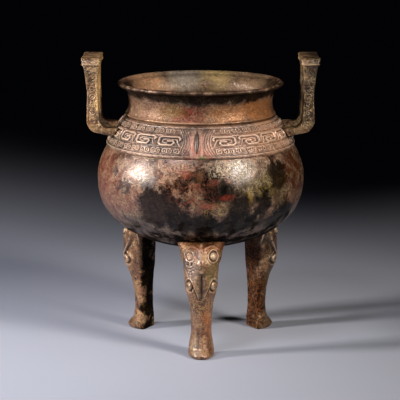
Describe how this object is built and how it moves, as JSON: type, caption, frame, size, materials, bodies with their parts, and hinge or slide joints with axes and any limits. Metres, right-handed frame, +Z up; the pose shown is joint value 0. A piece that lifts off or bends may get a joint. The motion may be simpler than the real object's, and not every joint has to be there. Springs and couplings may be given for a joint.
{
  "type": "tripod ding vessel",
  "caption": "Cast bronze tripod vessel with a round belly, raised ornament band, flared neck, upright loop ears and cabriole legs with animal masks.",
  "frame": {"origin": "centre of the bounding box's underside: on the bowl's axis, at the level of the three soles", "axes": "+Z up along the bowl's axis, the ears stand at -X and +X, one leg and the front flange face -Y"},
  "size_m": [0.236, 0.209, 0.2923],
  "materials": {
    "patinated_bronze": "brown patinated cast bronze, worn smooth on high spots"
  },
  "bodies": {
    "root": {"ding_vessel": "patinated_bronze"}
  },
  "joints": []
}
